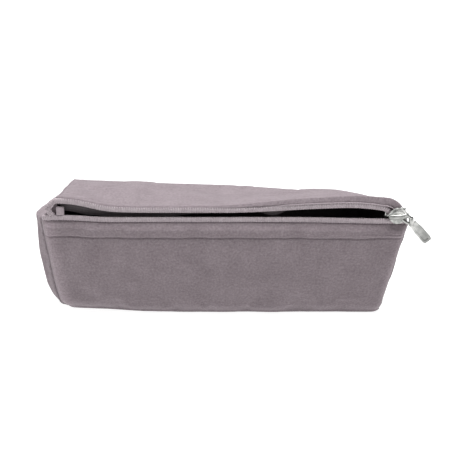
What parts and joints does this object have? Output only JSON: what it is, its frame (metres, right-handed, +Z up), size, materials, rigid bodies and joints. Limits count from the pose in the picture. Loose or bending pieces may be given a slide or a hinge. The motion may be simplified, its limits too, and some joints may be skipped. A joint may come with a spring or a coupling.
{
  "type": "soft zip glasses pouch",
  "caption": "Long box-shaped soft felt pouch for glasses, with a coil zip along its front top edge, a sloping roof, a lining and a metal slider with a pull tab.",
  "frame": {"origin": "centre of the base panel's flat underside, on the surface the pouch stands on", "axes": "+X along the pouch towards the end where the open slider sits, +Y towards the back, +Z up"},
  "size_m": [0.2017, 0.0524, 0.064],
  "materials": {
    "felt": "brushed felt, matte",
    "lining": "plain woven lining, matte",
    "foam": "thin foam interlining",
    "zip_tape": "woven tape",
    "zip_coil": "ribbed coil, satin",
    "stop_metal": "satin",
    "slider_metal": "satin plated"
  },
  "bodies": {
    "pouch": {"base_panel": "felt", "base_foam": "foam", "base_lining": "lining", "back_panel": "felt", "back_foam": "foam", "back_lining": "lining", "left_gusset_panel": "felt", "left_gusset_foam": "foam", "left_gusset_lining": "lining", "right_gusset_panel": "felt", "right_gusset_foam": "foam", "right_gusset_lining": "lining", "front_left_end": "felt", "front_right_end": "felt", "front_coil_left": "zip_coil", "front_coil_right": "zip_coil", "front_tape_left": "zip_tape", "front_tape_right": "zip_tape", "front_top_stop": "stop_metal", "bottom_stop": "stop_metal", "right_tape_end": "zip_tape", "left_tape_end": "zip_tape"},
    "front": {"front_panel": "felt", "front_foam": "foam", "front_lining": "lining", "front_tape": "zip_tape", "front_coil": "zip_coil"},
    "lid": {"roof_panel": "felt", "roof_foam": "foam", "roof_lining": "lining", "back_tape": "zip_tape", "back_coil": "zip_coil", "back_top_stop": "stop_metal"},
    "slider": {"slider_body": "slider_metal", "slider_bail": "slider_metal"},
    "pull_ring": {"pull_ring": "slider_metal"},
    "pull_tab": {"pull_tab": "slider_metal"}
  },
  "joints": [
    {"name": "zip_slide", "type": "slide", "parent": "pouch", "child": "slider", "axis": [1, 0, 0], "range_m": [-0.17, 0]},
    {"name": "lid_close", "type": "hinge", "parent": "pouch", "child": "lid", "pos_m": [0, 0.0454, 0.0542], "axis": [1, 0, 0], "range_deg": [0, 2.85]},
    {"name": "mouth_open", "type": "hinge", "parent": "pouch", "child": "front", "pos_m": [0, 0.0006, 0.002], "axis": [1, 0, 0], "range_deg": [0, 42], "stiffness_Nm_per_rad": 0.01},
    {"name": "ring_swing", "type": "hinge", "parent": "slider", "child": "pull_ring", "pos_m": [0.0902, -0.0034, 0.0569], "axis": [-0.6428, 0, -0.766], "range_deg": [0, 120]},
    {"name": "tab_swing", "type": "hinge", "parent": "pull_ring", "child": "pull_tab", "pos_m": [0.09526, -0.0034, 0.05266], "axis": [-0.6428, 0, -0.766], "range_deg": [0, 40]}
  ],
  "couplings": [
    {"joint": "lid_close", "follows": "zip_slide", "rad_per_m": -0.2874}
  ]
}
